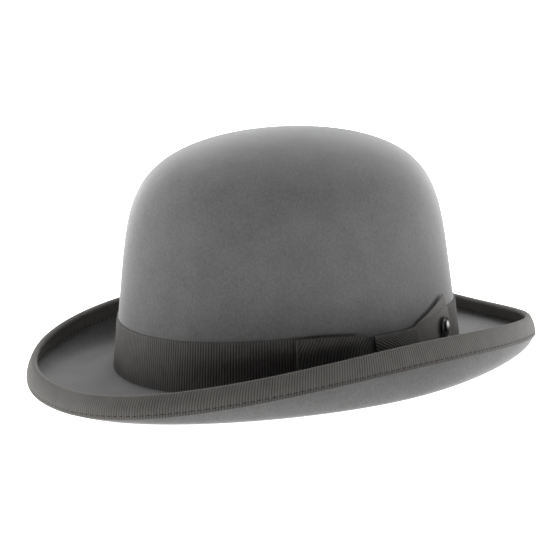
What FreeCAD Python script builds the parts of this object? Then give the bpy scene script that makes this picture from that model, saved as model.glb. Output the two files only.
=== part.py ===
import FreeCAD, Part
import math
import os

os.makedirs("parts", exist_ok=True)
V = FreeCAD.Vector

# Bowler hat.  Millimetres, +Z up, front at -Y, wearer's left at +X.
# z = 0 is the level the belly of the brim rests on.
break_level = 6.7         # height of the brim break at the sides
break_dip = 3.4           # how much lower the break is at front and back
felt_thickness = 2.4
felt_under = 0.35         # underside of the brim felt above the curl line
felt_upper = felt_under + felt_thickness

# Crown: an oval wall that narrows a little upward and closes in a dome.
crown_length = 103.6      # half axis front to back at the break, felt outside
crown_width = 88.9        # half axis side to side
crown_height = 128.6      # above the break at the sides
crown_narrowing = 0.149
dome_power = 7.756

# Brim: curled up all round, higher at the sides.
rim_length = 149.6        # half axis of the fold at the top of the curl
rim_width = 107.7
rim_squareness = 2.31
rim_rise = 16.1
rim_side_lift = 8.5
curl_fall, curl_fall_swing = 18.07, 14.14     # degrees below level at the crown
curl_lean, curl_lean_swing = 122.5, 5.3       # degrees the rim leans back over the brim
curl_start_pull = 29.03
curl_end_pull, curl_end_swing = 27.0, 1.34
fold_back = 1.9           # centre of the folded edge, from the rim
binding_leg = 13.2        # depth of the binding on each face
stitch_line = 11.5        # its stitching, from the rim
binding_inner, binding_outer = 1.3, 1.9       # radii of the binding over the edge
thread_radius = 0.2
ribbon_thickness = 0.6

# Ribbon round the crown, bow on the wearer's left.
band_height = 30.8
band_dip = 6.5            # how far the bow pulls the top edge of the band down
band_thickness = 0.75
loop_start, loop_end = -30.0, 3.0
knot_start, knot_end = -5.5, 11.5
tail_start, tail_end = -2.0, 34.5
tail_peak_angle, tail_peak_height = 30.5, 38.9

# Ornamental pin through the tail of the bow.
pin_angle, pin_height = 28.2, 20.2
plate_tall, plate_wide, plate_thickness = 6.6, 4.9, 1.1
dome_tall, dome_wide, dome_rise = 5.2, 3.6, 1.7
plate_base = 2.4          # back of the plate, outward from the crown wall
post_radius = 0.60
post_hole_radius = 0.65
keeper_radius, keeper_thickness = 3.5, 0.9
keeper_base = -3.55

# Inside of the crown.
leather_outer, leather_inner = -4.0, -5.1
leather_bottom, leather_top = 3.0, 43.0
lining_outer, lining_inner = -2.65, -3.05
lining_bottom, lining_seam = 30.0, 92.0
piping_radius = 0.75
reed_height, reed_radius = 1.7, 0.65

FULL_TURN = 2 * math.pi


def smooth(value):
    value = min(1.0, max(0.0, value))
    return value * value * (3 - 2 * value)


def crown_scale(fraction):
    inside = max(0.0, 1 - max(0.0, fraction) ** dome_power)
    return (1 - crown_narrowing * fraction) * math.sqrt(inside)


def break_height(turn):
    return break_level + break_dip * (math.cos(2 * turn) - 1) / 2


def wall(turn, height, offset):
    """Point beside the crown wall: height above the break plane, offset outward."""
    scale = crown_scale(height / crown_height)
    x = (crown_width * scale + offset) * math.cos(turn)
    y = (crown_length * scale + offset) * math.sin(turn)
    return V(x, y, break_level + height)


def on_band(turn, height, offset):
    """The same, with the height counted from the dipping line of the break."""
    return wall(turn, height + break_height(turn) - break_level, offset)


def under_dome(turn, height, offset):
    """Point on the crown surface shrunk by an offset, as a lining under it lies."""
    scale = crown_scale(height / (crown_height + offset))
    x = (crown_width + offset) * scale * math.cos(turn)
    y = (crown_length + offset) * scale * math.sin(turn)
    return V(x, y, break_level + height)


def rim_point(turn):
    angle = math.atan2(rim_length * math.sin(turn), rim_width * math.cos(turn))
    n = rim_squareness
    reach = (abs(math.cos(angle) / rim_width) ** n + abs(math.sin(angle) / rim_length) ** n) ** (-1 / n)
    rise = break_level + rim_rise + rim_side_lift * math.cos(2 * turn)
    return V(reach * math.cos(angle), reach * math.sin(angle), rise)


def brim_section(turn):
    """Start point, outward direction and the control points of the curl at one turn."""
    start = V(crown_width * math.cos(turn), crown_length * math.sin(turn), break_height(turn))
    rim = rim_point(turn)
    outward = V(rim.x - start.x, rim.y - start.y, 0)
    reach = outward.Length
    outward.normalize()
    fall = math.radians(curl_fall + curl_fall_swing * math.cos(2 * turn))
    lean = math.radians(curl_lean - curl_lean_swing * math.cos(2 * turn))
    first = curl_start_pull
    last = curl_end_pull - curl_end_swing * math.cos(2 * turn)
    rise = rim.z - start.z
    controls = [
        (0.0, 0.0),
        (first * math.cos(fall), -first * math.sin(fall)),
        (reach - last * math.cos(lean), rise - last * math.sin(lean)),
        (reach, rise),
    ]
    return start, outward, fall, controls


def curl(controls, s):
    """Point and unit direction on the curl at parameter s."""
    r = 1 - s
    weights = (r ** 3, 3 * r * r * s, 3 * r * s * s, s ** 3)
    slopes = (-3 * r * r, 3 * r * r - 6 * r * s, 6 * r * s - 3 * s * s, 3 * s * s)
    x = sum(w * c[0] for w, c in zip(weights, controls))
    z = sum(w * c[1] for w, c in zip(weights, controls))
    dx = sum(w * c[0] for w, c in zip(slopes, controls))
    dz = sum(w * c[1] for w, c in zip(slopes, controls))
    size = math.hypot(dx, dz)
    return x, z, dx / size, dz / size


def curl_parameter(controls, from_rim):
    """Parameter at a distance from the rim, measured along the curl."""
    steps = 80
    x, z, _, _ = curl(controls, 1.0)
    walked = 0.0
    for i in range(1, steps + 1):
        s = 1 - i / steps
        nx, nz, _, _ = curl(controls, s)
        step = math.hypot(nx - x, nz - z)
        if walked + step >= from_rim:
            return s + (walked + step - from_rim) / step / steps
        walked += step
        x, z = nx, nz
    return 0.0


def brim_point(section, s, offset):
    start, outward, _, controls = section
    x, z, dx, dz = curl(controls, s)
    r = x - dz * offset
    return V(start.x + outward.x * r, start.y + outward.y * r, start.z + z + dx * offset)


def fold_arc(section, radius, turned_back=False):
    """Half round of the fold, from the outer face over the top to the inner face."""
    start, outward, _, controls = section
    middle = (felt_under + felt_upper) / 2
    x, z, dx, dz = curl(controls, curl_parameter(controls, fold_back))
    x -= dz * middle
    z += dx * middle
    points = []
    for i in range(9):
        a = math.pi * i / 8 - math.pi / 2
        r = x + radius * (math.cos(a) * dx - math.sin(a) * dz)
        h = z + radius * (math.cos(a) * dz + math.sin(a) * dx)
        points.append(V(start.x + outward.x * r, start.y + outward.y * r, start.z + h))
    if turned_back:
        points.reverse()
    return points


def spline_poles(points, parameters, tangents=None):
    if len(points) == 2:
        return list(points), [parameters[0], parameters[1]], [2, 2], 1
    curve = Part.BSplineCurve()
    if tangents:
        curve.interpolate(Points=points, Parameters=parameters, InitialTangent=tangents[0],
                          FinalTangent=tangents[1], Scale=False)
    else:
        curve.interpolate(Points=points, Parameters=parameters)
    return curve.getPoles(), curve.getKnots(), curve.getMultiplicities(), curve.Degree


def patch(rows, along, tangents=None):
    """Smooth face through a grid: rows[j] runs along, the rows follow one another across."""
    across = [float(j) for j in range(len(rows))]
    lines = []
    for j, row in enumerate(rows):
        ends = tangents[j] if tangents else None
        poles, knots, mults, degree = spline_poles(row, along, ends)
        lines.append(poles)
    net = []
    for i in range(len(lines[0])):
        column, cross_knots, cross_mults, cross_degree = spline_poles([line[i] for line in lines], across)
        net.append(column)
    surface = Part.BSplineSurface()
    surface.buildFromPolesMultsKnots(net, mults, cross_mults, knots, cross_knots,
                                     False, False, degree, cross_degree)
    return surface.toShape()


def solid_from(faces):
    shell = Part.makeShell(faces)
    shell.sewShape()
    solid = Part.makeSolid(Part.Shell(shell.Faces) if shell.ShapeType != "Shell" else shell)
    if solid.Volume < 0:
        solid.reverse()
    return solid


def ring(section, steps=26):
    """Closed ring.  section(turn) gives lists of points that follow one another round."""
    nudge = 1e-4
    faces = []
    for half in range(2):
        first = math.pi * half
        along = [first + math.pi * i / steps for i in range(steps + 1)]
        sections = [section(turn) for turn in along]
        ends = [(section(turn - nudge), section(turn + nudge)) for turn in (along[0], along[-1])]
        for k in range(len(sections[0])):
            rows = []
            tangents = []
            for j in range(len(sections[0][k])):
                rows.append([s[k][j] for s in sections])
                tangents.append([(after[k][j] - before[k][j]) * (0.5 / nudge) for before, after in ends])
            faces.append(patch(rows, along, tangents))
    return solid_from(faces)


def box_section(point, bottom, top, inner, outer, pieces=6):
    """Upright strip beside the crown wall as a ring section."""
    def section(turn):
        low, high = bottom(turn), top(turn)
        heights = [low + (high - low) * i / pieces for i in range(pieces + 1)]
        outside = [point(turn, h, outer) for h in heights]
        inside = [point(turn, h, inner) for h in reversed(heights)]
        return [outside, [outside[-1], inside[0]], inside, [inside[-1], outside[0]]]
    return section


def cord_section(point, height, offset, radius):
    """Round cord lying beside the crown wall as a ring section."""
    def section(turn):
        around = [point(turn, height + radius * math.sin(a), offset + radius * math.cos(a))
                  for a in (FULL_TURN * i / 16 for i in range(17))]
        return [around[0:9], around[8:16] + [around[0]]]
    return section


def eight_sided(corners):
    """Ring section of a fine thread, drawn with eight flat sides."""
    return [[corners[i], corners[(i + 1) % 8]] for i in range(8)]


def sheet(middle, thickness, columns, rows):
    """Ribbon of even thickness about the surface middle(u, v)."""
    nudge = 1e-4
    us = [i / columns for i in range(columns + 1)]
    vs = [j / rows for j in range(rows + 1)]
    front, back = [], []
    for v in vs:
        front_row, back_row = [], []
        for u in us:
            du = middle(u + nudge, v) - middle(u - nudge, v)
            dv = middle(u, v + nudge) - middle(u, v - nudge)
            normal = du.cross(dv)
            normal.normalize()
            centre = middle(u, v)
            front_row.append(centre + normal * (thickness / 2))
            back_row.append(centre - normal * (thickness / 2))
        front.append(front_row)
        back.append(back_row)
    faces = [patch(front, us), patch(back, us)]
    faces.append(patch([front[0], back[0]], us))
    faces.append(patch([front[-1], back[-1]], us))
    for i in (0, -1):
        faces.append(patch([[row[i] for row in front], [row[i] for row in back]], vs))
    return solid_from(faces)


def dome_solid(offset, lowest):
    """Solid of revolution under the crown surface at an offset, stretched to the oval."""
    top = crown_height + offset
    long_axis = crown_length + offset
    short_axis = crown_width + offset
    low = lowest / top
    fractions = [low + (0.62 - low) * i / 6 for i in range(7)] if low < 0.5 else []
    first = math.asin(max(0.66, low) ** (dome_power / 2))
    steps = 18
    angles = [first + (math.pi / 2 - first) * i / steps for i in range(steps + 1)]
    fractions += [math.sin(a) ** (2 / dome_power) for a in angles]
    points = [V(long_axis * crown_scale(f), 0, top * f + break_level) for f in fractions[:-1]]
    points.append(V(0, 0, top + break_level))
    curve = Part.BSplineCurve()
    curve.interpolate(Points=points)
    base = points[0].z
    outline = Part.Wire([
        curve.toShape(),
        Part.makeLine(points[-1], V(0, 0, base)),
        Part.makeLine(V(0, 0, base), points[0]),
    ])
    solid = Part.Face(outline).revolve(V(0, 0, 0), V(0, 0, 1), 360)
    stretch = FreeCAD.Matrix()
    stretch.A11 = short_axis / long_axis
    return solid.transformGeometry(stretch)


# ---- felt ----
def felt_brim_section(turn):
    section = brim_section(turn)
    start, outward, fall, controls = section
    last = curl_parameter(controls, fold_back)
    stops = [last * i / 14 for i in range(15)]
    root = wall(turn, 0, 0.1 - felt_thickness)
    slope_rise = 2.3 * math.tan(fall)
    under = [V(root.x, root.y, start.z + felt_under / math.cos(fall) + slope_rise)]
    upper = [V(root.x, root.y, start.z + felt_upper / math.cos(fall) + slope_rise)]
    under += [brim_point(section, s, felt_under) for s in stops]
    upper += [brim_point(section, s, felt_upper) for s in stops]
    edge = fold_arc(section, felt_thickness / 2)
    under[-1] = edge[0]
    upper[-1] = edge[-1]
    upper.reverse()
    return [under, edge, upper, [upper[-1], under[0]]]


def brim_top_at_wall(turn):
    fall = brim_section(turn)[2]
    return felt_upper / math.cos(fall)


def trim_section(turn):
    fall = brim_section(turn)[2]
    level = 1.55 / math.cos(fall) + 1.15 * math.tan(fall)
    corners = [on_band(turn, h, o) for h, o in ((level, 6.0), (level, -8.0), (-16.0, -8.0), (-16.0, 6.0))]
    return [[corners[i], corners[(i + 1) % 4]] for i in range(4)]


def band_top(turn):
    angle = math.degrees(math.atan2(math.sin(turn), math.cos(turn)))
    return band_height - band_dip * smooth((angle + 27.0) / 24.0) * smooth((20.5 - angle) / 11.0)


# ---- brim binding and its two threads ----
def binding_section(turn):
    section = brim_section(turn)
    controls = section[3]
    low = curl_parameter(controls, binding_leg)
    high = curl_parameter(controls, fold_back)
    stops = [low + (high - low) * i / 6 for i in range(7)]
    outer_arc = fold_arc(section, binding_outer)
    inner_arc = fold_arc(section, binding_inner, turned_back=True)
    outside_up = [brim_point(section, s, -0.35) for s in stops[:-1]] + [outer_arc[0]]
    inside_down = [outer_arc[-1]] + [brim_point(section, s, 3.45) for s in reversed(stops[:-1])]
    inside_up = [brim_point(section, s, 2.85) for s in stops[:-1]] + [inner_arc[0]]
    outside_down = [inner_arc[-1]] + [brim_point(section, s, 0.25) for s in reversed(stops[:-1])]
    return [outside_up, outer_arc, inside_down, [inside_down[-1], inside_up[0]],
            inside_up, inner_arc, outside_down, [outside_down[-1], outside_up[0]]]


def seam_thread_section(offset, radius):
    def section(turn):
        place = brim_section(turn)
        s = curl_parameter(place[3], stitch_line)
        base = brim_point(place, s, offset)
        up = brim_point(place, s + 0.001, offset) - base
        up.normalize()
        out = brim_point(place, s, offset + 1) - base
        return eight_sided([base + up * (radius * math.sin(a)) + out * (radius * math.cos(a))
                            for a in (FULL_TURN * i / 8 for i in range(8))])
    return section


# ---- bow ----
def tail_middle(u, v):
    end = tail_end - 4.0 * smooth((v - 0.55) / 0.45)
    angle = tail_start + (end - tail_start) * u
    rise = smooth((angle - 8.0) / 6.0) * 3.6 + max(0.0, angle - 12.0) * (tail_peak_height - 27.4) / 18.5
    top = 23.8 + rise
    bottom = 6.0 - 1.9 * smooth((angle - 8.0) / 10.0)
    height = bottom + (top - bottom) * v
    lift = 0.25 * math.sin(math.pi * min(1.0, max(0.0, (angle - 10.0) / 25.0))) * (0.3 + v)
    return on_band(math.radians(angle), height, 1.25 + lift)


def loop_middle(u, v):
    """Hairpin: from the knot along the inner layer, round the fold and back outside."""
    fold = 0.12
    length = loop_end - loop_start
    if u < 0.5 - fold / 2:
        angle = loop_end - length * u / (0.5 - fold / 2)
        side = -1.0
    elif u > 0.5 + fold / 2:
        angle = loop_end - length * (1 - u) / (0.5 - fold / 2)
        side = 1.0
    else:
        a = math.pi * (u - 0.5 + fold / 2) / fold
        angle = loop_start - 0.7 * math.sin(a)
        side = -math.cos(a)
    away = smooth((-4.0 - angle) / 12.0)
    half_gap = 0.36 + 0.75 * away * (1 - 0.35 * smooth((-20.0 - angle) / 10.0))
    centre = 2.32 + 0.72 * away * (1 - 0.35 * smooth((-20.0 - angle) / 10.0))
    open_out = smooth((-3.5 - angle) / 9.0)
    top = 23.4 + 5.4 * open_out + 1.6 * smooth((-10.0 - angle) / 14.0)
    bottom = 6.4 - 2.4 * open_out
    return on_band(math.radians(angle), bottom + (top - bottom) * v, centre + side * half_gap)


def knot_middle(u, v):
    angle = knot_start + (knot_end - knot_start) * u
    a = math.pi * (0.02 + 0.96 * v)
    bulge = (abs(math.cos(a)) ** 4 + abs(math.sin(a)) ** 4) ** -0.25
    waist = 1 - 0.05 * math.sin(math.pi * min(1.0, max(0.0, u)))
    height = 15.0 - 11.2 * waist * bulge * math.cos(a)
    return on_band(math.radians(angle), height, 1.3 + 2.35 * bulge * math.sin(a))


# ---- pin ----
pin_turn = math.radians(pin_angle)
pin_spot = on_band(pin_turn, pin_height, 0.0)
side_step = on_band(pin_turn + 0.001, pin_height, 0.0) - pin_spot
up_step = on_band(pin_turn, pin_height + 0.1, 0.0) - pin_spot
pin_axis = side_step.cross(up_step)
pin_axis.normalize()
pin_up = up_step - pin_axis * up_step.dot(pin_axis)
pin_up.normalize()
pin_side = pin_up.cross(pin_axis)


def pin_place(shape):
    """Put a shape built about +Z, tall along +Y, on the pin's axis."""
    m = FreeCAD.Matrix(
        pin_side.x, pin_up.x, pin_axis.x, pin_spot.x,
        pin_side.y, pin_up.y, pin_axis.y, pin_spot.y,
        pin_side.z, pin_up.z, pin_axis.z, pin_spot.z,
        0, 0, 0, 1)
    return shape.transformed(m)


def oval_disc(tall, wide, base, thickness):
    disc = Part.makeCylinder(1.0, thickness, V(0, 0, base))
    stretch = FreeCAD.Matrix()
    stretch.A11 = wide
    stretch.A22 = tall
    return disc.transformGeometry(stretch)


def oval_dome(tall, wide, rise, base):
    ball = Part.makeSphere(1.0, V(0, 0, 0), V(0, 0, 1), 0, 90, 360)
    stretch = FreeCAD.Matrix()
    stretch.A11 = wide
    stretch.A22 = tall
    stretch.A33 = rise
    return ball.transformGeometry(stretch).translated(V(0, 0, base))


def save(name, shape):
    shape.exportStep("parts/" + name + ".step")
    print(name, shape.ShapeType, len(shape.Solids), shape.isValid(), round(shape.Volume, 1))


post_hole = pin_place(Part.makeCylinder(post_hole_radius, 16, V(0, 0, -8)))

# felt body
shell = dome_solid(0.0, -12.0).cut(dome_solid(-felt_thickness, -14.0))
shell = shell.cut(ring(trim_section))
felt = shell.fuse(ring(felt_brim_section)).cut(post_hole)
save("felt_body", felt)

# edge of the brim
save("brim_binding", ring(binding_section))
save("binding_needle_thread", ring(seam_thread_section(-0.58, thread_radius)))
save("binding_bobbin_thread", ring(seam_thread_section(3.68, thread_radius)))

# ribbon round the crown and bow
band = ring(box_section(on_band, lambda t: brim_top_at_wall(t) + 0.4, band_top,
                        0.12, 0.12 + band_thickness), steps=52)
save("hat_band", band.cut(post_hole))
save("bow_tail", sheet(tail_middle, ribbon_thickness, 24, 10).cut(post_hole))
save("bow_loop", sheet(loop_middle, ribbon_thickness, 48, 6))
save("bow_knot", sheet(knot_middle, ribbon_thickness, 8, 24))

# pin
save("pin_plate", pin_place(oval_disc(plate_tall, plate_wide, plate_base, plate_thickness)))
save("pin_dome", pin_place(oval_dome(dome_tall, dome_wide, dome_rise, plate_base + plate_thickness)))
save("pin_post", pin_place(Part.makeCylinder(post_radius, 5.85, V(0, 0, -3.45))))
keeper = Part.makeCylinder(keeper_radius, keeper_thickness, V(0, 0, keeper_base))
save("pin_keeper", pin_place(keeper).cut(post_hole))

# sweatband
leather = ring(box_section(on_band, lambda t: leather_bottom, lambda t: leather_top,
                           leather_inner, leather_outer))
save("sweatband", leather)
save("sweatband_reed", ring(cord_section(on_band, reed_height, leather_outer, reed_radius)))


def reed_tape_section(turn):
    outer, inner = 1.05, 0.8
    arc = [math.pi * i / 8 for i in range(9)]

    def bend(radius):
        return [on_band(turn, reed_height - radius * math.sin(a), leather_outer + radius * math.cos(a))
                for a in arc]

    out_bend = bend(outer)
    in_bend = bend(inner)
    in_bend.reverse()
    leg_out = on_band(turn, 9.0, leather_outer + outer)
    leg_in = on_band(turn, 9.0, leather_outer + inner)
    lip_out = on_band(turn, 2.5, leather_outer - outer)
    lip_in = on_band(turn, 2.5, leather_outer - inner)
    return [[leg_out, out_bend[0]], out_bend, [out_bend[-1], lip_out], [lip_out, lip_in],
            [lip_in, in_bend[0]], in_bend, [in_bend[-1], leg_in], [leg_in, leg_out]]


save("reed_tape", ring(reed_tape_section))


def sweatband_thread_section(turn):
    return eight_sided([on_band(turn, 4.6 + thread_radius * math.sin(a),
                                leather_inner - 0.25 + thread_radius * math.cos(a))
                        for a in (FULL_TURN * i / 8 for i in range(8))])


save("sweatband_thread", ring(sweatband_thread_section))


def back_bow_middle(u, v):
    angle = 90.0 + 11.0 * (u - 0.5)
    pinch = 1 - 0.45 * math.exp(-((u - 0.5) / 0.16) ** 2)
    return on_band(math.radians(angle), 12.0 + 7.0 * pinch * (v - 0.5), leather_inner - 0.55)


def back_knot_middle(u, v):
    angle = 90.0 + 2.4 * (u - 0.5)
    a = math.pi * (0.03 + 0.94 * v)
    return on_band(math.radians(angle), 12.0 - 3.0 * math.cos(a), leather_inner - 0.45 - 1.2 * math.sin(a))


save("sweatband_bow_loops", sheet(back_bow_middle, 0.4, 20, 4))
save("sweatband_bow_knot", sheet(back_knot_middle, 0.4, 6, 12))

# size ticket tucked behind the leather at the back
save("size_ticket", sheet(lambda u, v: wall(math.radians(96 + 12 * u), 30 + 16 * v, -3.55), 0.2, 8, 4))

# lining
side = ring(box_section(under_dome, lambda t: lining_bottom, lambda t: lining_seam - 0.8,
                        lining_inner, lining_outer, pieces=12))
save("lining_side", side)
tip = dome_solid(lining_outer, lining_seam + 0.8).cut(dome_solid(lining_inner, lining_seam - 2.0))
save("lining_tip", tip)
save("lining_piping", ring(cord_section(under_dome, lining_seam, -3.95, piping_radius)))
window = dome_solid(lining_inner - 0.1, 110.0).cut(dome_solid(lining_inner - 0.4, 108.0))
save("lining_window", window.common(Part.makeCylinder(27.0, 60, V(0, 0, 90))))
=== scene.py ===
import math
import bpy
import numpy as np
from mathutils import Matrix, Vector


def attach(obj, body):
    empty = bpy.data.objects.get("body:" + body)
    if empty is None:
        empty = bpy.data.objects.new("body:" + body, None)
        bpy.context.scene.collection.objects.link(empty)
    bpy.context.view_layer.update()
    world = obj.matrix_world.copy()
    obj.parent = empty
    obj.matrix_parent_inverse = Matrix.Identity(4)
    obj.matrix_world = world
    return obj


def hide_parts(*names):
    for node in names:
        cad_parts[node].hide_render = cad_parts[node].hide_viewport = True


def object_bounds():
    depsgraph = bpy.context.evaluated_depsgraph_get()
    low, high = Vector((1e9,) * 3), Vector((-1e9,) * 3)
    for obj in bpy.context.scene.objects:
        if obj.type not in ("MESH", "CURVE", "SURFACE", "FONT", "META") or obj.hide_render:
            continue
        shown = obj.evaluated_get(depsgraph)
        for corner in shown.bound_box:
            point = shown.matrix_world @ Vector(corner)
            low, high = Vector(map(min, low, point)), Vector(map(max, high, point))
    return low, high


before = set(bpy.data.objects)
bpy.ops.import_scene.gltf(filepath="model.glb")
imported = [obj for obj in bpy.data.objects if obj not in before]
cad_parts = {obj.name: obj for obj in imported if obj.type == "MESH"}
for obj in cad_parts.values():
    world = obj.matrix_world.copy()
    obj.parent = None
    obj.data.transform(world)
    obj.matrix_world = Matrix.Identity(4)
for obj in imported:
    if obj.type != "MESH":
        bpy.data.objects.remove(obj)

cad_box = [list(corner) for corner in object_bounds()]

# Sizes are in millimetres and become metres when a mesh is made.
MM = 0.001
FULL_TURN = 2 * math.pi

# Driving dimensions, the same as the CAD model's.
break_level = 6.7
break_dip = 3.4
felt_thickness = 2.4
crown_length = 103.6
crown_width = 88.9
crown_height = 128.6
crown_narrowing = 0.149
dome_power = 7.756
rim_length = 149.6
rim_width = 107.7
rim_squareness = 2.31
rim_rise = 16.1
rim_side_lift = 8.5
curl_fall, curl_fall_swing = 18.07, 14.14
curl_lean, curl_lean_swing = 122.5, 5.3
curl_start_pull = 29.03
curl_end_pull, curl_end_swing = 27.0, 1.34
felt_under, felt_upper = 0.35, 2.75
fold_middle = 1.55
fold_back = 1.9
binding_leg = 13.2
stitch_line = 11.5
stitch_pitch = 3.8
binding_inner, binding_outer = 1.3, 1.9
band_height = 30.8
band_dip = 6.5
rib_pitch = 1.5
rib_depth = 0.26
ribbon_thickness = 0.6
knot_start, knot_end = -5.5, 11.5
loop_start, loop_end = -30.0, 3.0
tail_start, tail_end = -2.0, 34.5
tail_peak_height = 38.9
tail_length, loop_length, knot_width = 62.0, 113.0, 27.0
leather_outer, leather_inner = -4.0, -5.1
leather_bottom, leather_top = 3.0, 43.0
lining_outer, lining_inner = -2.65, -3.05
lining_bottom, lining_seam = 30.0, 92.0
reed_height = 1.7
shoulder = 0.66           # fraction of the height where the crown starts to close in
pin_turn, pin_height = math.radians(28.2), 20.2
plate_wide, plate_tall = 4.9, 6.6


# ---------------------------------------------------------------- shape
def smooth(value):
    value = np.clip(value, 0.0, 1.0)
    return value * value * (3 - 2 * value)


def noise_line(phase, seed, waves=5):
    """Smooth periodic wobble of phase in turns, about -1 to 1."""
    draw = np.random.default_rng(seed)
    total = 0.0
    for k in range(1, waves + 1):
        total = total + draw.normal() / k * np.sin(FULL_TURN * (k * phase + draw.random()))
    return total / 1.5


def crown_scale(fraction):
    inside = np.clip(1 - np.clip(fraction, 0, None) ** dome_power, 0, 1)
    return (1 - crown_narrowing * fraction) * np.sqrt(inside)


def break_height(turn):
    return break_level + break_dip * (np.cos(2 * turn) - 1) / 2


def wall(turn, height, offset):
    """Point beside the crown wall: height above the break plane, offset outward."""
    scale = crown_scale(height / crown_height)
    x = (crown_width * scale + offset) * np.cos(turn)
    y = (crown_length * scale + offset) * np.sin(turn)
    return np.stack(np.broadcast_arrays(x, y, break_level + height), -1)


def on_band(turn, height, offset):
    return wall(turn, height + break_height(turn) - break_level, offset)


def dome(turn, fraction, offset):
    """Point of the crown surface at an offset, by fraction of the height."""
    scale = crown_scale(fraction)
    x = (crown_width + offset) * scale * np.cos(turn)
    y = (crown_length + offset) * scale * np.sin(turn)
    z = (crown_height + offset) * fraction + break_level
    return np.stack(np.broadcast_arrays(x, y, z), -1)


def under_dome(turn, height, offset):
    """Point on the crown surface shrunk by an offset, by height above the break plane."""
    return dome(turn, height / (crown_height + offset), offset)


def dome_fractions(low, high, count):
    """Fractions of the height that space points evenly over the shoulder of the dome."""
    first = math.asin(low ** (dome_power / 2))
    last = math.asin(min(1.0, high) ** (dome_power / 2))
    return np.sin(np.linspace(first, last, count)) ** (2 / dome_power)


class Brim:
    """The curl of the brim at many turns at once."""

    def __init__(self, turn):
        self.turn = turn
        angle = np.arctan2(rim_length * np.sin(turn), rim_width * np.cos(turn))
        n = rim_squareness
        sides = np.abs(np.cos(angle) / rim_width) ** n + np.abs(np.sin(angle) / rim_length) ** n
        reach = sides ** (-1 / n)
        rim_z = break_level + rim_rise + rim_side_lift * np.cos(2 * turn)
        across, along = crown_width * np.cos(turn), crown_length * np.sin(turn)
        self.start = np.stack([across, along, break_height(turn)], -1)
        away = np.stack([reach * np.cos(angle), reach * np.sin(angle)], -1) - self.start[:, :2]
        width = np.linalg.norm(away, axis=-1)
        self.outward = away / width[:, None]
        self.fall = np.radians(curl_fall + curl_fall_swing * np.cos(2 * turn))
        lean = np.radians(curl_lean - curl_lean_swing * np.cos(2 * turn))
        first = curl_start_pull
        last = curl_end_pull - curl_end_swing * np.cos(2 * turn)
        rise = rim_z - self.start[:, 2]
        zero = np.zeros_like(turn)
        self.r = np.stack([zero, first * np.cos(self.fall), width - last * np.cos(lean), width], -1)
        self.h = np.stack([zero, -first * np.sin(self.fall), rise - last * np.sin(lean), rise], -1)
        s = np.linspace(1, 0, 161)
        r, h, _, _ = self.curl(np.broadcast_to(s, (len(turn), len(s))))
        steps = np.hypot(np.diff(r, axis=1), np.diff(h, axis=1))
        walked = np.concatenate([np.zeros((len(turn), 1)), np.cumsum(steps, axis=1)], axis=1)
        self.table = (walked, s)

    def curl(self, s):
        q = 1 - s
        weights = (q ** 3, 3 * q * q * s, 3 * q * s * s, s ** 3)
        slopes = (-3 * q * q, 3 * q * q - 6 * q * s, 6 * q * s - 3 * s * s, 3 * s * s)
        r = sum(w * self.r[:, k:k + 1] for k, w in enumerate(weights))
        h = sum(w * self.h[:, k:k + 1] for k, w in enumerate(weights))
        dr = sum(w * self.r[:, k:k + 1] for k, w in enumerate(slopes))
        dh = sum(w * self.h[:, k:k + 1] for k, w in enumerate(slopes))
        size = np.hypot(dr, dh)
        return r, h, dr / size, dh / size

    def parameter(self, distance):
        """Parameters at distances from the rim, one row for each turn."""
        walked, s = self.table
        distance = np.broadcast_to(distance, (len(self.turn), np.shape(distance)[-1]))
        return np.stack([np.interp(d, w, s) for d, w in zip(distance, walked)])

    def place(self, r, h):
        xy = self.start[:, None, :2] + self.outward[:, None, :] * r[..., None]
        return np.concatenate([xy, (self.start[:, None, 2] + h)[..., None]], -1)

    def surface(self, s, offset):
        r, h, dr, dh = self.curl(s)
        return self.place(r - dh * offset, h + dr * offset)

    def by_distance(self, distance, offset):
        return self.surface(self.parameter(distance), offset)

    def fold(self, radius, angles):
        """Half round over the top of the curl; -90 degrees is the outer face."""
        r, h, dr, dh = self.curl(self.parameter(np.array([fold_back])))
        r = r - dh * fold_middle
        h = h + dr * fold_middle
        c, s = radius * np.cos(angles), radius * np.sin(angles)
        return self.place(r + c * dr - s * dh, h + c * dh + s * dr)


def even_turns(curve, count):
    """Turns that divide a closed curve into equal lengths."""
    dense = np.linspace(0, FULL_TURN, 4001)
    points = curve(dense)
    steps = np.linalg.norm(np.diff(points, axis=0), axis=1)
    walked = np.concatenate([[0], np.cumsum(steps)])
    targets = np.arange(count) / count * walked[-1]
    return np.interp(targets, walked, dense), walked[-1]


def ribs(phase):
    """Height of a corded ribbon: round ridges with narrow grooves, 0 to 1."""
    return np.abs(np.sin(math.pi * phase)) ** 0.7


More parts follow.
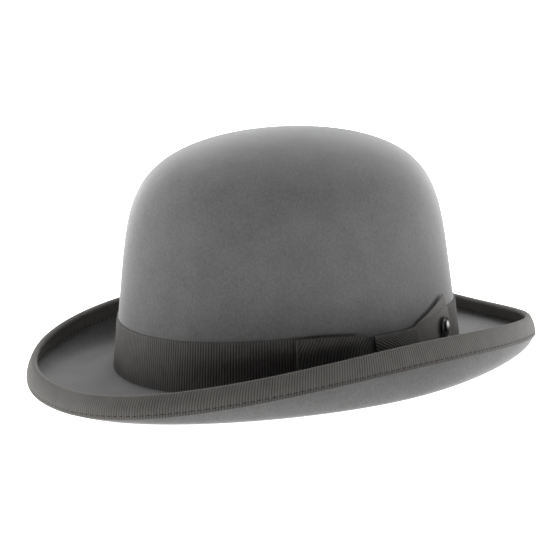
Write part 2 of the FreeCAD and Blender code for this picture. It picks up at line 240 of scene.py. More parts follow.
# ---------------------------------------------------------------- meshes
def make_object(name, points, faces, uv=None, sharp=50):
    """Closed mesh from millimetre points; faces is a list of index arrays."""
    points = np.asarray(points, float).reshape(-1, 3)
    tris = []
    for group in faces:
        for k in range(1, group.shape[1] - 1):
            tris.append(group[:, [0, k, k + 1]])
    tris = points[np.concatenate(tris)]
    volume = np.einsum("ij,ij->i", tris[:, 0], np.cross(tris[:, 1], tris[:, 2])).sum()
    mesh = bpy.data.meshes.new(name)
    loops, starts, totals = [], [], []
    corner = 0
    for group in faces:
        group = group[:, ::-1] if volume < 0 else group
        loops.append(group.reshape(-1))
        starts.append(corner + np.arange(len(group)) * group.shape[1])
        totals.append(np.full(len(group), group.shape[1]))
        corner += group.size
    loops = np.concatenate(loops)
    mesh.vertices.add(len(points))
    mesh.vertices.foreach_set("co", (points * MM).astype(np.float32).reshape(-1))
    mesh.loops.add(len(loops))
    mesh.loops.foreach_set("vertex_index", loops.astype(np.int32))
    mesh.polygons.add(sum(len(t) for t in totals))
    mesh.polygons.foreach_set("loop_start", np.concatenate(starts).astype(np.int32))
    mesh.polygons.foreach_set("loop_total", np.concatenate(totals).astype(np.int32))
    mesh.update(calc_edges=True)
    mesh.validate()
    mesh.shade_smooth()
    if uv is not None:
        for label, values in zip(("along", "across"), np.asarray(uv).T):
            layer = mesh.attributes.new(label, "FLOAT", "POINT")
            layer.data.foreach_set("value", np.ascontiguousarray(values, dtype=np.float32))
    mesh.set_sharp_from_angle(angle=math.radians(sharp))
    made = bpy.data.objects.new(name, mesh)
    bpy.context.collection.objects.link(made)
    return made


def grid_faces(rows, columns, wrap_rows, wrap_columns):
    i = np.arange(rows if wrap_rows else rows - 1)
    j = np.arange(columns if wrap_columns else columns - 1)
    i, j = np.meshgrid(i, j, indexing="ij")
    i2, j2 = (i + 1) % rows, (j + 1) % columns
    corners = (i * columns + j, i2 * columns + j, i2 * columns + j2, i * columns + j2)
    return np.stack([c.reshape(-1) for c in corners], -1)


def ring_piece(name, points, uv=None, sharp=50):
    """points[turn, path]: closed both ways."""
    rows, columns = points.shape[:2]
    return make_object(name, points, [grid_faces(rows, columns, True, True)], uv, sharp)


def cup_piece(name, points, uv=None, sharp=50):
    """points[turn, path]: closed round the turn, with both ends of the path on the axis."""
    rows, columns = points.shape[:2]
    flat = points.reshape(-1, 3)
    poles = np.stack([points[:, 0].mean(0), points[:, -1].mean(0)])
    i = np.arange(rows)
    after = (i + 1) % rows
    first = np.stack([np.full(rows, len(flat)), after * columns, i * columns], -1)
    end = columns - 1
    last = np.stack([np.full(rows, len(flat) + 1), i * columns + end, after * columns + end], -1)
    faces = [grid_faces(rows, columns, True, False), first, last]
    if uv is not None:
        uv = np.concatenate([uv, uv[[0, columns - 1]]])
    return make_object(name, np.concatenate([flat, poles]), faces, uv, sharp)


def strip_piece(name, front, back, uv=None, sharp=50):
    """Thick strip of cloth between front[u, v] and back[u, v], closed at all four edges."""
    points = np.concatenate([front, back[:, ::-1]], axis=1)
    rows, columns = points.shape[:2]
    half = columns // 2
    j = np.arange(half - 1)
    first = np.stack([j, j + 1, columns - 2 - j, columns - 1 - j], -1)
    last = first[:, ::-1] + (rows - 1) * columns
    if uv is not None:
        uv = np.concatenate([uv, uv[:, ::-1]], axis=1).reshape(-1, 2)
    return make_object(name, points, [grid_faces(rows, columns, False, True), first, last], uv, sharp)


def normals_of(points):
    du = np.gradient(points, axis=0)
    dv = np.gradient(points, axis=1)
    normal = np.cross(du, dv)
    return normal / np.maximum(np.linalg.norm(normal, axis=-1, keepdims=True), 1e-9)


def ribbon(name, middle, us, vs, thickness, phase, uv, depth=rib_depth):
    """Corded ribbon about middle(u, v), with ribs on both faces."""
    u, v = np.meshgrid(us, vs, indexing="ij")
    centre = middle(u, v)
    normal = normals_of(centre)
    edge = np.minimum(v - vs[0], vs[-1] - v)[..., None]
    height = thickness / 2 - depth * (1 - ribs(phase(u, v)))[..., None] * smooth(edge * 60 + 0.35)
    return strip_piece(name, centre + normal * height, centre - normal * height, uv(u, v))


def tubes(name, paths, outs, radius, sides=6, taper=(0.3, 0.85, 1, 1, 1, 0.85, 0.3)):
    """Short threads: paths[k, p] with outward directions outs[k, p]."""
    count, length = paths.shape[:2]
    tangent = np.gradient(paths, axis=1)
    tangent /= np.linalg.norm(tangent, axis=-1, keepdims=True)
    side = np.cross(tangent, outs)
    side /= np.linalg.norm(side, axis=-1, keepdims=True)
    out = np.cross(side, tangent)
    around = np.arange(sides) / sides * FULL_TURN
    size = radius * np.interp(np.linspace(0, 1, length), np.linspace(0, 1, len(taper)), taper)
    ring = (out[:, :, None] * np.cos(around)[:, None] + side[:, :, None] * np.sin(around)[:, None])
    points = paths[:, :, None] + ring * size[None, :, None, None]
    one = grid_faces(length, sides, False, True)
    cap = np.arange(sides)[None]
    caps = np.concatenate([cap[:, ::-1], cap + (length - 1) * sides])
    shift = (np.arange(count) * length * sides)[:, None, None]
    faces = [(one[None] + shift).reshape(-1, 4), (caps[None] + shift).reshape(-1, sides)]
    return make_object(name, points, faces)


def finish_piece(piece, body, slot, material, *nodes):
    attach(piece, body)
    if nodes:
        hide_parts(*nodes)
    piece.data.materials.clear()
    piece.data.materials.append(material)
    return piece


# ---------------------------------------------------------------- materials
class Paint:
    """Small helper for node materials round one Principled shader."""

    def __init__(self, name, **sockets):
        self.material = bpy.data.materials.new(name)
        self.material.use_nodes = True
        self.nodes = self.material.node_tree.nodes
        self.links = self.material.node_tree.links
        self.shader = self.nodes["Principled BSDF"]
        for key, value in sockets.items():
            self.shader.inputs[key.replace("_", " ")].default_value = value

    def node(self, kind, settings=(), **inputs):
        made = self.nodes.new("ShaderNode" + kind)
        for key, value in dict(settings).items():
            setattr(made, key, value)
        for key, value in inputs.items():
            socket = made.inputs[key.replace("_", " ")]
            if isinstance(value, bpy.types.NodeSocket):
                self.links.new(value, socket)
            else:
                socket.default_value = value
        return made

    def place(self, scale=(1, 1, 1)):
        """Object coordinates in millimetres, stretched by scale."""
        where = self.node("TexCoord").outputs["Object"]
        mapping = self.node("Mapping", Vector=where)
        mapping.inputs["Scale"].default_value = [1000 * s for s in scale]
        return mapping.outputs["Vector"]

    def noise(self, vector, scale, detail=3.0, roughness=0.55):
        made = self.node("TexNoise", Vector=vector, Scale=scale, Detail=detail, Roughness=roughness)
        return made.outputs["Fac"]

    def range(self, value, low, high, new_low, new_high):
        made = self.node("MapRange", Value=value)
        for key, number in (("From Min", low), ("From Max", high), ("To Min", new_low), ("To Max", new_high)):
            made.inputs[key].default_value = number
        return made.outputs["Result"]

    def math(self, operation, a, b=0.0):
        made = self.node("Math", {"operation": operation})
        for socket, value in zip(made.inputs, (a, b)):
            if isinstance(value, bpy.types.NodeSocket):
                self.links.new(value, socket)
            else:
                socket.default_value = value
        return made.outputs[0]

    def ramp(self, value, *stops):
        made = self.node("ValToRGB", Fac=value)
        elements = made.color_ramp.elements
        while len(elements) < len(stops):
            elements.new(0.5)
        for element, (place, colour) in zip(elements, stops):
            element.position = place
            element.color = (*colour, 1)
        return made.outputs["Color"]

    def attribute(self, name):
        return self.node("Attribute", {"attribute_name": name}).outputs["Fac"]

    def set(self, **sockets):
        for key, value in sockets.items():
            self.links.new(value, self.shader.inputs[key.replace("_", " ")])

    def bump(self, height, strength, distance):
        made = self.node("Bump", Height=height, Strength=strength, Distance=distance * MM)
        self.links.new(made.outputs["Normal"], self.shader.inputs["Normal"])


def grey(value, warm=0.0):
    return (value * (1 + warm), value, value * (1 - warm))


def felt_material():
    p = Paint("fur felt", Roughness=0.95, Specular_IOR_Level=0.15, Sheen_Weight=0.9, Sheen_Roughness=0.35)
    p.shader.inputs["Sheen Tint"].default_value = (0.93, 0.93, 0.94, 1)
    place = p.place()
    fibre = p.noise(p.place((1.2, 1.2, 0.8)), 0.8, 4, 0.7)
    cloud = p.noise(place, 0.06, 3)
    fleck = p.noise(place, 1.5, 3)
    mixed = p.math("ADD", p.math("MULTIPLY", fibre, 0.55), p.math("MULTIPLY", cloud, 0.25))
    mixed = p.math("ADD", mixed, p.math("MULTIPLY", fleck, 0.20))
    p.set(Base_Color=p.ramp(mixed, (0.34, grey(0.126)), (0.52, grey(0.166)), (0.70, grey(0.213, 0.004))))
    p.set(Roughness=p.range(fibre, 0.3, 0.7, 0.88, 1.0))
    p.bump(p.math("ADD", fibre, p.math("MULTIPLY", fleck, 0.6)), 0.5, 0.30)
    return p.material


def ribbon_material(name, dark, light, warm, sheen):
    """Corded ribbon: fine warp lines across the ribs, with painted shade in the grooves and painted highlight
    on the ridges.
    """
    p = Paint(name, Specular_IOR_Level=0.3, Sheen_Weight=sheen, Sheen_Roughness=0.4)
    p.shader.inputs["Sheen Tint"].default_value = (0.9, 0.88, 0.86, 1)
    across, along = p.attribute("across"), p.attribute("along")
    warp = p.math("SINE", p.math("MULTIPLY", across, FULL_TURN / 0.42))
    worn = p.noise(p.place(), 0.12, 3)
    thread = p.noise(p.place(), 2.2, 2)
    # Painted shade and highlight: the colour darkens in the grooves between the ribs and lightens on the
    # ridges.
    painted_rib_shading = p.math("ABSOLUTE", p.math("SINE", p.math("MULTIPLY", along, math.pi)))
    value = p.math("ADD", p.math("MULTIPLY", painted_rib_shading, 0.55), p.math("MULTIPLY", thread, 0.30))
    value = p.math("ADD", value, p.math("MULTIPLY", worn, 0.30))
    value = p.math("ADD", value, p.math("MULTIPLY", warp, 0.04))
    middle = (dark + light) / 2
    stops = [(0.25, grey(dark, warm)), (0.6, grey(middle, warm)), (1.0, grey(light, warm))]
    p.set(Base_Color=p.ramp(value, *stops))
    p.set(Roughness=p.range(thread, 0.3, 0.7, 0.55, 0.75))
    p.bump(p.math("ADD", p.math("MULTIPLY", warp, 0.5), thread), 0.3, 0.06)
    return p.material


def thread_material(name, colour):
    p = Paint(name, Roughness=0.6, Specular_IOR_Level=0.3, Sheen_Weight=0.2)
    strand = p.noise(p.place(), 5.0, 2)
    darker = tuple(0.6 * c for c in colour)
    p.set(Base_Color=p.ramp(strand, (0.35, darker), (0.65, colour)))
    p.bump(strand, 0.4, 0.05)
    return p.material


def leather_material():
    p = Paint("sweatband leather", Roughness=0.45, Specular_IOR_Level=0.45, Coat_Weight=0.12,
              Coat_Roughness=0.35)
    cells = p.node("TexVoronoi", {"feature": "DISTANCE_TO_EDGE"}, Vector=p.place(), Scale=1.3)
    cells = cells.outputs["Distance"]
    cloud = p.noise(p.place(), 0.08, 4)
    pores = p.noise(p.place(), 2.5, 2)
    p.set(Base_Color=p.ramp(cloud, (0.3, (0.070, 0.034, 0.017)), (0.7, (0.125, 0.062, 0.030))))
    p.set(Roughness=p.range(pores, 0.3, 0.7, 0.38, 0.58))
    p.bump(p.math("ADD", p.range(cells, 0.0, 0.12, 0.0, 1.0), p.math("MULTIPLY", pores, 0.5)), 0.35, 0.10)
    return p.material


def satin_material():
    p = Paint("lining satin", Specular_IOR_Level=0.5, Sheen_Weight=0.35, Sheen_Roughness=0.3)
    streak = p.noise(p.place((0.15, 0.15, 1.6)), 1.6, 2)
    cloud = p.noise(p.place(), 0.05, 2)
    p.set(Base_Color=p.ramp(cloud, (0.35, (0.40, 0.385, 0.36)), (0.65, (0.47, 0.455, 0.43))))
    p.set(Roughness=p.range(streak, 0.3, 0.7, 0.28, 0.44))
    p.bump(streak, 0.25, 0.05)
    return p.material


def tape_material():
    p = Paint("woven tape", Roughness=0.8, Sheen_Weight=0.3)
    weave = p.math("SINE", p.math("MULTIPLY", p.attribute("along"), FULL_TURN / 0.7))
    cross = p.math("SINE", p.math("MULTIPLY", p.attribute("across"), FULL_TURN / 0.7))
    woven = p.math("MULTIPLY", p.math("MULTIPLY", weave, cross), 0.3)
    value = p.math("ADD", woven, p.noise(p.place(), 1.5, 2))
    p.set(Base_Color=p.ramp(value, (0.3, grey(0.02, 0.04)), (0.8, grey(0.05, 0.04))))
    p.bump(value, 0.4, 0.08)
    return p.material


def metal_material(name, dark, light, roughness):
    p = Paint(name, Metallic=1.0)
    scratch = p.noise(p.place((1, 1, 4)), 3.0, 3)
    cloud = p.noise(p.place(), 0.5, 3)
    p.set(Base_Color=p.ramp(cloud, (0.3, dark), (0.7, light)))
    p.set(Roughness=p.range(scratch, 0.3, 0.7, roughness, roughness + 0.14))
    p.bump(scratch, 0.12, 0.02)
    return p.material


def reed_material():
    p = Paint("reed", Roughness=0.5)
    cloud = p.noise(p.place(), 0.4, 3)
    p.set(Base_Color=p.ramp(cloud, (0.3, (0.50, 0.44, 0.33)), (0.7, (0.60, 0.54, 0.42))))
    return p.material


def paper_material():
    p = Paint("ticket paper", Roughness=0.8)
    fibre = p.noise(p.place(), 1.2, 4)
    p.set(Base_Color=p.ramp(fibre, (0.3, (0.62, 0.59, 0.50)), (0.7, (0.70, 0.67, 0.59))))
    p.bump(fibre, 0.2, 0.05)
    return p.material


def clear_material():
    p = Paint("clear film", Roughness=0.12, Alpha=0.25, Specular_IOR_Level=0.5)
    cloud = p.noise(p.place(), 0.3, 2)
    p.set(Base_Color=p.ramp(cloud, (0.3, (0.78, 0.80, 0.80)), (0.7, (0.84, 0.85, 0.84))))
    p.set(Roughness=p.range(cloud, 0.3, 0.7, 0.08, 0.2))
    return p.material


felt = felt_material()
band_ribbon = ribbon_material("band grosgrain", 0.007, 0.135, 0.045, 0.2)
# Painted light: the binding's copy of the ribbon has a lighter dark end than the band's, standing in for
# light from below and the sides.
binding_ribbon = ribbon_material("binding grosgrain", 0.035, 0.135, 0.055, 0.3)
dark_thread = thread_material("dark thread", (0.022, 0.020, 0.018))
pale_thread = thread_material("pale thread", (0.30, 0.25, 0.18))
leather = leather_material()
satin = satin_material()
tape = tape_material()
pin_metal = metal_material("blackened nickel", (0.10, 0.10, 0.105), (0.17, 0.17, 0.175), 0.22)
keeper_metal = metal_material("keeper brass", (0.42, 0.30, 0.12), (0.55, 0.41, 0.18), 0.3)


# ---------------------------------------------------------------- felt hood
def felt_hood():
    """Outside of the crown, over the brim, round its edge, under it and up the inside."""
    turn = np.arange(528) / 528 * FULL_TURN
    column = turn[:, None]
    brim = Brim(turn)
    top_at_wall = (break_height(turn) - break_level + felt_upper / np.cos(brim.fall))[:, None]
    under_at_wall = (break_height(turn) - break_level + felt_under / np.cos(brim.fall))[:, None]
    path = [dome(column, dome_fractions(shoulder, 0.99997, 30)[::-1], 0.0)]
    low = (top_at_wall + 2.4) / crown_height
    down = np.linspace(0, 1, 15)[1:]
    path.append(dome(column, shoulder + (low - shoulder) * down, 0.0))
    inner_wall = wall(column, top_at_wall + 2.4, 0.0)
    corner = wall(column, top_at_wall, 0.0)
    s_start = np.full((len(turn), 1), 0.027)
    flat = brim.surface(s_start, felt_upper)
    for k in (0.2, 0.4, 0.6, 0.8):
        path.append((1 - k) ** 2 * inner_wall + 2 * k * (1 - k) * corner + k * k * flat)
    s_end = brim.parameter(np.array([fold_back]))
    path.append(brim.surface(s_start + (s_end - s_start) * np.linspace(0, 1, 38)[:-1], felt_upper))
    path.append(brim.fold(felt_thickness / 2, np.linspace(math.pi / 2, -math.pi / 2, 9)))
    path.append(brim.surface(s_end * np.linspace(1, 0, 46)[1:], felt_under))
    edge = brim.surface(np.zeros_like(s_start), felt_under)
    corner = wall(column, under_at_wall, -felt_thickness)
    inner_wall = wall(column, under_at_wall + 3.0, -felt_thickness)
    for k in (0.25, 0.5, 0.75):
        path.append((1 - k) ** 2 * edge + 2 * k * (1 - k) * corner + k * k * inner_wall)
    inside_top = crown_height - felt_thickness
    low = (under_at_wall + 3.0) / inside_top
    path.append(dome(column, low + (shoulder - low) * np.linspace(0, 1, 8), -felt_thickness))
    path.append(dome(column, dome_fractions(shoulder, 0.99997, 18)[1:], -felt_thickness))
    piece = cup_piece("felt_hood", np.concatenate(path, axis=1), sharp=80)
    return finish_piece(piece, "hat", "felt", felt, "felt_body")


# ---------------------------------------------------------------- brim binding
def binding():
    line = lambda t: Brim(t).by_distance(np.array([stitch_line]), 0.0)[:, 0]
    length = even_turns(line, 8)[1]
    rib_count = round(length / rib_pitch)
    per_rib = 4
    turn, _ = even_turns(line, rib_count * per_rib)
    brim = Brim(turn)
    phase = (np.arange(len(turn)) / per_rib)[:, None]
    stitch_phase = np.arange(len(turn))[:, None] / len(turn) * stitch_count(length)
    relief = rib_depth * 0.8 * (1 - ribs(phase))

    def leg(distances, offset, sign, ribbed=True):
        d = np.asarray(distances)[None, :]
        pull = np.exp(-((d - stitch_line) / 0.7) ** 2) * (0.10 + 0.10 * np.cos(FULL_TURN * stitch_phase))
        flare = 0.22 * smooth((d - stitch_line - 0.4) / 1.2)
        sink = (relief if ribbed else 0.0) * smooth((binding_leg - d) / 0.5 + 0.3) + pull - flare
        return brim.by_distance(distances, offset + sign * sink)

    down = np.concatenate([np.linspace(fold_back, stitch_line - 1.2, 7)[1:],
                           stitch_line + np.array([-0.6, 0.0, 0.5, 0.9, 1.3, binding_leg - stitch_line])])
    arc = np.linspace(-math.pi / 2, math.pi / 2, 9)
    outer = leg(down[::-1], -0.35, 1)
    over = brim.fold(binding_outer - relief, arc[None, :])
    inner = leg(down, 3.45, -1)
    back_down = [4.5, 8.5, 11.5, binding_leg]
    inner_back = leg(back_down[::-1], 2.85, -1, ribbed=False)
    over_back = brim.fold(binding_inner, arc[::-2])
    outer_back = leg(back_down, 0.25, 1, ribbed=False)
    points = np.concatenate([outer, over, inner, inner_back, over_back, outer_back], axis=1)
    steps = np.linalg.norm(np.diff(points[0], axis=0), axis=1)
    walked = np.concatenate([[0], np.cumsum(steps)])
    along, across = np.broadcast_arrays(phase, walked[None])
    uv = np.stack([along, across], -1).reshape(-1, 2)
    piece = ring_piece("brim_binding_ribbon", points, uv, sharp=70)
    finish_piece(piece, "hat", "binding_ribbon", binding_ribbon, "brim_binding")
    return piece


def stitch_count(length):
    return round(length / stitch_pitch)


def binding_stitches(name, node, offset, sign):
    """Machine stitches that dip into the ribbon between one needle hole and the next."""
    line = lambda t: Brim(t).by_distance(np.array([stitch_line]), 0.0)[:, 0]
    length = even_turns(line, 8)[1]
    count = stitch_count(length)
    steps = 7
    q = np.linspace(0.14, 0.86, steps)
    starts = np.arange(count)[:, None] + q[None, :]
    turns, _ = even_turns(line, count * 200)
    turns = np.interp(starts.reshape(-1) * 200, np.arange(len(turns)), turns)
    brim = Brim(turns)
    rise = np.tile(0.16 * np.sin(math.pi * (q - 0.14) / 0.72) - 0.02, count)[:, None]
    height = offset - sign * (rise - 0.12)
    path = brim.by_distance(np.array([stitch_line]), height)[:, 0]
    out = brim.by_distance(np.array([stitch_line]), height - sign * 1.0)[:, 0] - path
    piece = tubes(name, path.reshape(count, steps, 3), out.reshape(count, steps, 3), 0.24)
    return finish_piece(piece, "hat", "dark_thread", dark_thread, node)


# ---------------------------------------------------------------- ribbon and bow
def band_top(turn):
    """Height of the band's upper edge, which the bow pulls down."""
    angle = np.degrees(np.arctan2(np.sin(turn), np.cos(turn)))
    return band_height - band_dip * smooth((angle + 27.0) / 24.0) * smooth((20.5 - angle) / 11.0)


def band():
    line = lambda t: on_band(t, 16.0, 0.5)
    length = even_turns(line, 8)[1]
    rib_count = round(length / rib_pitch)
    per_rib = 8
    turn, _ = even_turns(line, rib_count * per_rib)
    column = turn[:, None]
    phase = (np.arange(len(turn)) / per_rib)[:, None]
    wobble = 0.10 * noise_line(column / FULL_TURN, 3)
    fall = np.radians(curl_fall + curl_fall_swing * np.cos(2 * column))
    low = felt_upper / np.cos(fall) + 0.4
    v = np.array([0, 0.02, 0.05, 0.12, 0.25, 0.4, 0.55, 0.7, 0.82, 0.92, 0.96, 0.985, 1.0])[None, :]
    scallop = 0.16 * ribs(phase)
    top = band_top(column) - 0.16 + scallop
    height = low + (top - low) * v
    selvage = smooth((1 - v) / 0.05) * smooth(v / 0.05)
    relief = rib_depth * (1 - ribs(phase)) * (0.45 + 0.55 * selvage)
    bead = 0.08 * np.exp(-((1 - v) * 28 / 0.9 - 0.6) ** 2)
    outer = on_band(column, height, 0.84 - relief + bead + wobble * (0.4 + 0.6 * v))
    back_v = np.array([1.0, 0.6, 0.3, 0.0])[None, :]
    inner = on_band(column, low + (top - low) * back_v, 0.14 + np.clip(wobble, 0, 1) * 0.5 * back_v)
    points = np.concatenate([outer, inner], axis=1)
    run = np.concatenate([height + 0 * phase, 60 - 27 * back_v + 0 * phase], 1)
    along, across = np.broadcast_arrays(phase, run)
    uv = np.stack([along, across], -1).reshape(-1, 2)
    piece = ring_piece("band_ribbon", points, uv, sharp=75)
    finish_piece(piece, "hat", "band_ribbon", band_ribbon, "hat_band")
    return piece


def tail():
    def middle(u, v):
        end = tail_end - 4.0 * smooth((v - 0.55) / 0.45)
        angle = tail_start + (end - tail_start) * u
        rise = smooth((angle - 8.0) / 6.0) * 3.6
        rise = rise + np.clip(angle - 12.0, 0, None) * (tail_peak_height - 27.4) / 18.5
        top = 23.8 + rise
        bottom = 6.0 - 1.9 * smooth((angle - 8.0) / 10.0)
        height = bottom + (top - bottom) * v
        open_part = np.sin(math.pi * np.clip((angle - 10.0) / 25.0, 0, 1))
        lift = 0.25 * open_part * (0.3 + v)
        pleat_line = 26.0 + 0.30 * (angle - 12.0)
        pleat = 0.55 * smooth((height - pleat_line) / 1.2) * smooth((angle - 10.0) / 5.0)
        return on_band(np.radians(angle), height, 1.25 + lift + pleat)

    phase = lambda u, v: u * tail_length / rib_pitch
    # The along value stays near 0.5, which holds the painted rib shade near its light end, so the tail gets
    # only faint painted shade between its ribs.
    uv = lambda u, v: np.stack([0.5 + 0.12 * np.sin(FULL_TURN * phase(u, v)), v * 30.0], -1)
    piece = ribbon("bow_tail_ribbon", middle, np.linspace(0, 1, 321), np.linspace(0, 1, 25),
                   ribbon_thickness, phase, uv, depth=0.3 * rib_depth)
    finish_piece(piece, "hat", "band_ribbon", band_ribbon, "bow_tail")
    return piece


def loop():
    fold = 0.12

    def middle(u, v):
        length = loop_end - loop_start
        half = 0.5 - fold / 2
        round_angle = math.pi * np.clip((u - half) / fold, 0, 1)
        inner_run = loop_end - length * np.clip(u / half, 0, 1)
        outer_run = loop_end - length * np.clip((1 - u) / half, 0, 1)
        angle = np.where(u < half, inner_run, np.where(u > 1 - half, outer_run, loop_start))
        angle = angle - 0.7 * np.sin(round_angle)
        side = -np.cos(round_angle)
        away = smooth((-4.0 - angle) / 12.0)
        taper = 1 - 0.35 * smooth((-20.0 - angle) / 10.0)
        half_gap = 0.36 + 0.75 * away * taper
        centre = 2.32 + 0.72 * away * taper
        open_out = smooth((-3.5 - angle) / 9.0)
        top = 23.4 + 5.4 * open_out + 1.6 * smooth((-10.0 - angle) / 14.0)
        bottom = 6.4 - 2.4 * open_out
        height = bottom + (top - bottom) * v
        swell = 0.25 * np.sin(math.pi * v) * away * side
        return on_band(np.radians(angle), height, centre + side * half_gap + swell)

    phase = lambda u, v: u * loop_length / rib_pitch - 2.6 * v - 1.2 * smooth((v - 0.7) / 0.3)
    uv = lambda u, v: np.stack([phase(u, v), v * 27.0], -1)
    piece = ribbon("bow_loop_ribbon", middle, np.linspace(0, 1, 601), np.linspace(0, 1, 25),
                   ribbon_thickness, phase, uv)
    finish_piece(piece, "hat", "band_ribbon", band_ribbon, "bow_loop")
    return piece


def knot():
    def middle(u, v):
        angle = knot_start + (knot_end - knot_start) * u
        a = math.pi * (0.02 + 0.96 * v)
        bulge = (np.abs(np.cos(a)) ** 4 + np.abs(np.sin(a)) ** 4) ** -0.25
        waist = 1 - 0.05 * np.sin(math.pi * np.clip(u, 0, 1))
        height = 15.0 - 11.2 * waist * bulge * np.cos(a)
        crease = 0.10 * np.sin(FULL_TURN * (3.2 * v + 0.55 * u)) * np.sin(math.pi * v)
        return on_band(np.radians(angle), height, 1.3 + (2.35 + crease) * bulge * np.sin(a))

    def phase(u, v):
        run = knot_width * u
        drop = 0.44 * run + 0.5 * 0.49 / knot_width * run ** 2
        return (30.0 * v + drop) / 1.42

    uv = lambda u, v: np.stack([phase(u, v), u * knot_width], -1)
    piece = ribbon("bow_knot_ribbon", middle, np.linspace(0, 1, 121), np.linspace(0, 1, 241),
                   ribbon_thickness, phase, uv)
    finish_piece(piece, "hat", "band_ribbon", band_ribbon, "bow_knot")
    return piece


# ---------------------------------------------------------------- pin
def pin_frame():
    spot = on_band(pin_turn, pin_height, 0.0)
    side = on_band(pin_turn + 0.001, pin_height, 0.0) - spot
    up = on_band(pin_turn, pin_height + 0.1, 0.0) - spot
    axis = np.cross(side, up)
    axis /= np.linalg.norm(axis)
    up -= axis * up.dot(axis)
    up /= np.linalg.norm(up)
    return spot, np.cross(up, axis), up, axis


def on_pin(x, y, z):
    spot, side, up, axis = pin_frame()
    return spot + x[..., None] * side + y[..., None] * up + z[..., None] * axis


def oval_turned(name, wide, tall, profile, count=96):
    """Oval turned form: profile lists (fraction of the radius, height)."""
    around = np.arange(count)[:, None] / count * FULL_TURN
    radius, height = np.array(profile).T[:, None, :]
    points = on_pin(wide * radius * np.cos(around), tall * radius * np.sin(around), height + 0 * around)
    return cup_piece(name, points, sharp=35)


def pin():
    plate = oval_turned("pin_bezel", plate_wide, plate_tall, [
        (0.02, 2.42), (0.90, 2.42), (0.97, 2.50), (1.0, 2.70), (1.0, 3.05), (0.975, 3.25), (0.93, 3.38),
        (0.88, 3.42), (0.84, 3.36), (0.81, 3.22), (0.79, 3.12), (0.74, 3.10), (0.02, 3.10)])
    finish_piece(plate, "hat_pin", "dark_metal", pin_metal, "pin_plate")
    dome_profile = [(math.cos(a), 3.12 + 2.0 * math.sin(a) ** 0.9) for a in np.linspace(0, 1.55, 18)]
    cabochon = oval_turned("pin_cabochon", 3.55, 5.1, [(0.02, 3.12)] + dome_profile)
    finish_piece(cabochon, "hat_pin", "dark_metal", pin_metal, "pin_dome")
    count = 44
    around = np.arange(count) / count * FULL_TURN
    steps = np.linspace(-0.32, 0.32, 7)
    x = plate_wide * 0.92 * np.cos(around)[:, None] + 0 * steps
    y = plate_tall * 0.92 * np.sin(around)[:, None] + 0 * steps
    z = 3.40 + 0 * x
    out = on_pin(np.cos(around)[:, None] + 0 * x, np.sin(around)[:, None] + 0 * x, 0 * x) - pin_frame()[0]
    turned = np.stack([-np.sin(around)[:, None] * steps, np.cos(around)[:, None] * steps], -1)
    path = on_pin(x + turned[..., 0], y + turned[..., 1], z)
    beads = tubes("pin_beading", path, out, 0.34, sides=8, taper=(0.25, 0.75, 0.95, 1, 0.95, 0.75, 0.25))
    finish_piece(beads, "hat_pin", "dark_metal", pin_metal)


# ---------------------------------------------------------------- inside of the crown
def sweatband():
    turn = np.arange(720)[:, None] / 720 * FULL_TURN
    v = np.array([0, 0.015, 0.04, 0.1, 0.2, 0.35, 0.5, 0.65, 0.8, 0.9, 0.96, 0.985, 1.0])[None, :]
    lean = -0.9 * smooth((v - 0.55) / 0.45) * (0.5 + 0.5 * noise_line(turn / FULL_TURN, 5))
    seam = np.exp(-((v * 40 - 1.6) / 0.8) ** 2)
    pull = 0.18 * seam * (0.6 + 0.4 * np.cos(180 * turn))
    height = leather_bottom + (leather_top - leather_bottom) * v
    rounded = 0.25 * (np.exp(-v * 60) + np.exp(-(1 - v) * 60))
    inner = on_band(turn, height, leather_inner + lean + pull + rounded)
    outer = on_band(turn, height[:, ::-1], leather_outer + lean[:, ::-1] - rounded[:, ::-1])
    piece = ring_piece("sweatband_leather", np.concatenate([inner, outer], axis=1), sharp=80)
    finish_piece(piece, "hat", "leather", leather, "sweatband")


def wall_stitches(name, height, offset, pitch, gap=0.16, tilt=0.0):
    """Row of stitches on the inner face of something beside the crown wall."""
    line = lambda t: on_band(t, height, offset)
    length = even_turns(line, 8)[1]
    count = round(length / pitch)
    q = np.linspace(gap, 1 - gap, 7)
    turns, _ = even_turns(line, count * 100)
    spots = (np.arange(count)[:, None] + q[None]).reshape(-1) * 100
    at = np.interp(spots, np.arange(len(turns)), turns).reshape(count, 7)
    rise = 0.16 * np.sin(math.pi * np.linspace(0, 1, 7))[None]
    zigzag = tilt * (q[None] - 0.5) * np.where(np.arange(count) % 2, 1.0, -1.0)[:, None]
    path = on_band(at, height + zigzag, offset - rise)
    out = on_band(at, height + zigzag, offset - rise - 1.0) - path
    return tubes(name, path, out, 0.2)


def sweatband_trim():
    stitches = wall_stitches("sweatband_stitches", 4.6, leather_inner - 0.02, 3.1)
    finish_piece(stitches, "hat", "pale_thread", pale_thread, "sweatband_thread")
    turn = np.arange(720)[:, None] / 720 * FULL_TURN
    angles = np.linspace(0, math.pi, 13)[None]
    outer, inner = 1.05, 0.82
    legs = np.array([[9.0, 6.0, 3.5]])
    lip = np.array([[2.5]])
    back = angles[:, ::-1]
    path = [
        on_band(turn, legs, leather_outer + outer),
        on_band(turn, reed_height - outer * np.sin(angles), leather_outer + outer * np.cos(angles)),
        on_band(turn, lip, leather_outer - outer),
        on_band(turn, lip, leather_outer - inner),
        on_band(turn, reed_height - inner * np.sin(back), leather_outer + inner * np.cos(back)),
        on_band(turn, legs[:, ::-1], leather_outer + inner),
    ]
    points = np.concatenate(path, axis=1)
    length = even_turns(lambda t: on_band(t, reed_height, leather_outer), 8)[1]
    along, across = np.broadcast_arrays(turn / FULL_TURN * length, np.arange(points.shape[1])[None] * 0.6)
    tape_piece = ring_piece("reed_tape_cloth", points, np.stack([along, across], -1).reshape(-1, 2), sharp=70)
    finish_piece(tape_piece, "hat", "tape", tape, "reed_tape")


